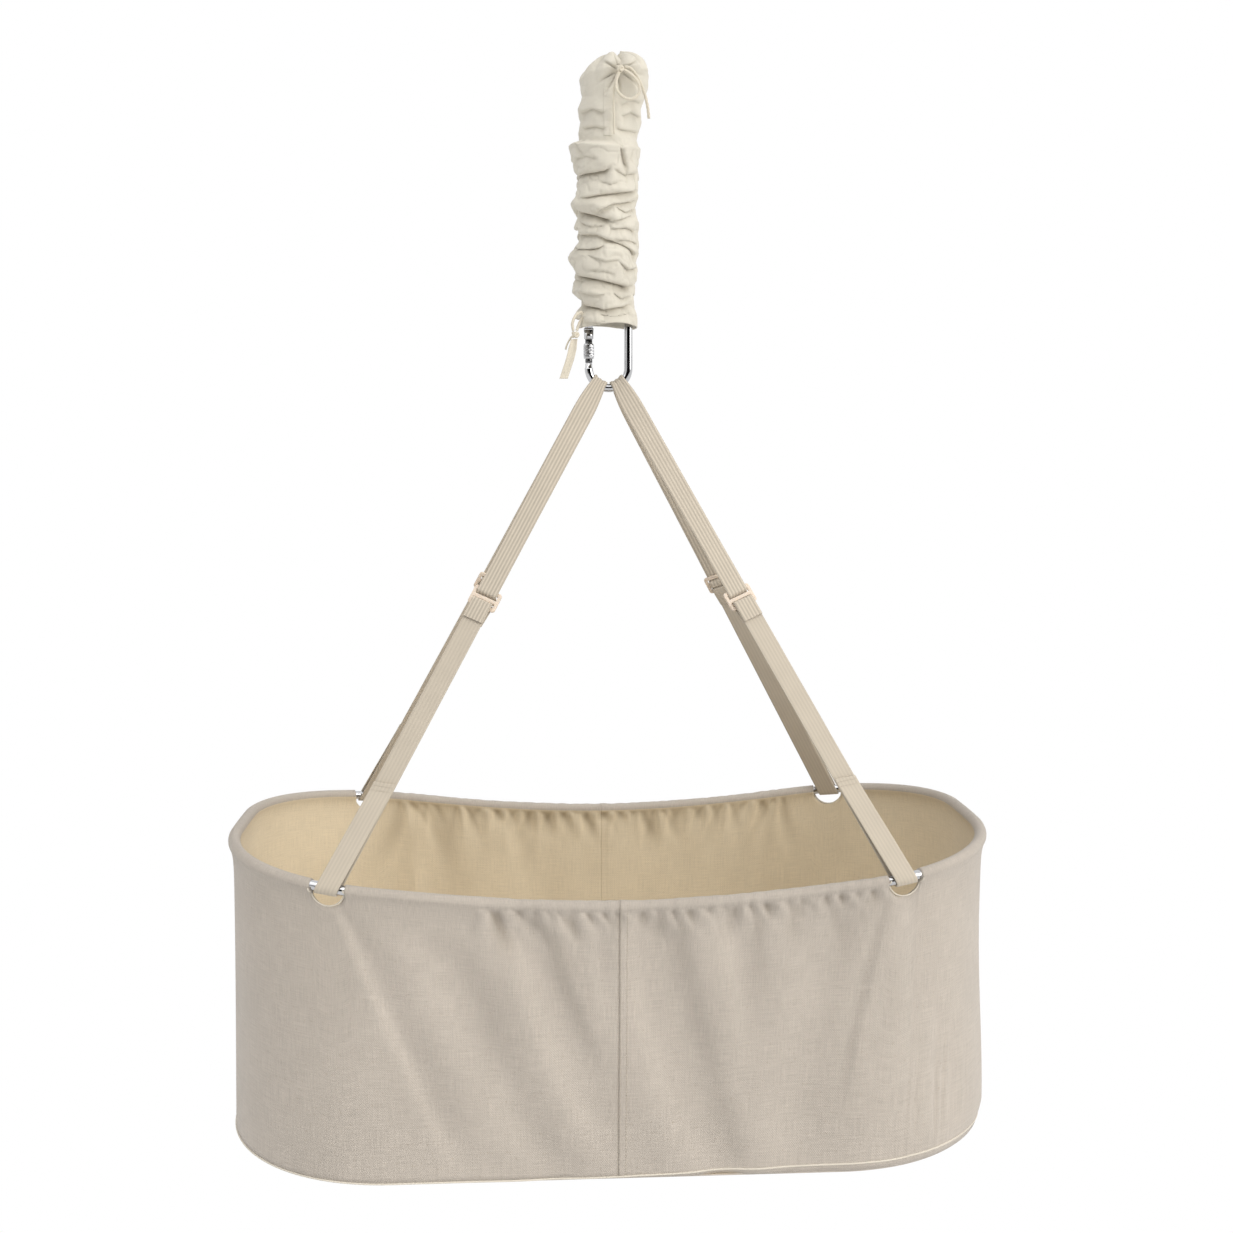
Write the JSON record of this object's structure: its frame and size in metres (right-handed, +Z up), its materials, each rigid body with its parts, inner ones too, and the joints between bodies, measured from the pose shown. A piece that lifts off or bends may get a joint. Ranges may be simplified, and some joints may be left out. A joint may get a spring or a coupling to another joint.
{
  "type": "hanging baby cradle",
  "caption": "Hanging baby cradle: oblong canvas basket on a steel rim rod, carried by webbing legs with sliders from a screw-gate carabiner under a sleeved spring.",
  "frame": {"origin": "the lowest point that a ceiling hook bears on, at the top inside the top ring's bore", "axes": "+Z up, +X along the basket's length, +Y towards its back"},
  "size_m": [0.9222, 0.4518, 1.2758],
  "materials": {
    "polished_steel": "polished",
    "spring_steel": "satin",
    "sleeve_cotton": "matte",
    "tie_cotton": "matte",
    "webbing": "matte",
    "slider_plastic": "satin",
    "canvas": "matte",
    "board_wood": "matte",
    "mattress_cotton": "matte"
  },
  "bodies": {
    "hanger": {"top_ring": "polished_steel"},
    "upper_eye": {"top_swivel_eye": "polished_steel"},
    "spring_top": {"extension_spring": "spring_steel", "cotton_sleeve": "sleeve_cotton", "top_knot": "tie_cotton", "top_loop": "tie_cotton", "top_tail": "tie_cotton", "placket_cord": "tie_cotton"},
    "spring_bottom": {"bottom_swivel_eye": "polished_steel", "bottom_knot": "tie_cotton", "bottom_loop": "tie_cotton", "bottom_tail": "tie_cotton", "bottom_tape": "tie_cotton"},
    "carabiner": {"carabiner_body": "polished_steel", "gate_pin": "polished_steel"},
    "gate": {"carabiner_gate": "polished_steel"},
    "collar": {"screw_collar": "polished_steel"},
    "straps": {"left_upper_webbing": "webbing", "right_upper_webbing": "webbing"},
    "basket": {"rim_rod": "polished_steel", "left_side_panel": "canvas", "right_side_panel": "canvas", "base_panel": "canvas", "base_board": "board_wood", "mattress": "mattress_cotton", "lower_webbing_front_left": "webbing", "lower_webbing_back_left": "webbing", "lower_webbing_front_right": "webbing", "lower_webbing_back_right": "webbing"},
    "slider_front_left": {"slider_front_left": "slider_plastic"},
    "slider_back_left": {"slider_back_left": "slider_plastic"},
    "slider_front_right": {"slider_front_right": "slider_plastic"},
    "slider_back_right": {"slider_back_right": "slider_plastic"}
  },
  "joints": [
    {"name": "swing_lengthwise", "type": "hinge", "parent": "hanger", "child": "upper_eye", "pos_m": [0, 0, -0.036], "axis": [0, 1, 0], "range_deg": [-20, 20]},
    {"name": "swivel", "type": "hinge", "parent": "upper_eye", "child": "spring_top", "pos_m": [0, 0, -0.06], "axis": [0, 0, 1], "continuous": true},
    {"name": "bounce", "type": "slide", "parent": "spring_top", "child": "spring_bottom", "axis": [0, 0, -1], "range_m": [-0.04, 0.1], "stiffness_N_per_m": 539, "springref_m": -0.1309, "deforming": ["extension_spring", "cotton_sleeve"]},
    {"name": "swing_across", "type": "hinge", "parent": "spring_bottom", "child": "carabiner", "pos_m": [0, 0, -0.255], "axis": [1, 0, 0], "range_deg": [-20, 20]},
    {"name": "gate_hinge", "type": "hinge", "parent": "carabiner", "child": "gate", "pos_m": [-0.0235, 0, -0.29], "axis": [0, -1, 0], "range_deg": [0, 20], "stiffness_Nm_per_rad": 0.05, "springref_deg": -11.46},
    {"name": "collar_slide", "type": "slide", "parent": "gate", "child": "collar", "axis": [0, 0, 1], "range_m": [-0.0102, 0.0015]},
    {"name": "strap_rock", "type": "hinge", "parent": "carabiner", "child": "straps", "pos_m": [0, 0, -0.349], "axis": [1, 0, 0], "range_deg": [-12, 12]},
    {"name": "height_adjust", "type": "slide", "parent": "straps", "child": "basket", "axis": [0, 0, 1], "range_m": [0, 0.06], "deforming": ["left_upper_webbing", "right_upper_webbing", "lower_webbing_front_left", "lower_webbing_back_left", "lower_webbing_front_right", "lower_webbing_back_right"]},
    {"name": "slider_front_left_slide", "type": "slide", "parent": "straps", "child": "slider_front_left", "axis": [0, 0, 1], "range_m": [0, 0.02683]},
    {"name": "slider_back_left_slide", "type": "slide", "parent": "straps", "child": "slider_back_left", "axis": [0, 0, 1], "range_m": [0, 0.02683]},
    {"name": "slider_front_right_slide", "type": "slide", "parent": "straps", "child": "slider_front_right", "axis": [0, 0, 1], "range_m": [0, 0.02683]},
    {"name": "slider_back_right_slide", "type": "slide", "parent": "straps", "child": "slider_back_right", "axis": [0, 0, 1], "range_m": [0, 0.02683]}
  ],
  "couplings": [
    {"joint": "slider_front_left_slide", "follows": "height_adjust", "ratio": 0.447},
    {"joint": "slider_back_left_slide", "follows": "height_adjust", "ratio": 0.447},
    {"joint": "slider_front_right_slide", "follows": "height_adjust", "ratio": 0.447},
    {"joint": "slider_back_right_slide", "follows": "height_adjust", "ratio": 0.447}
  ]
}
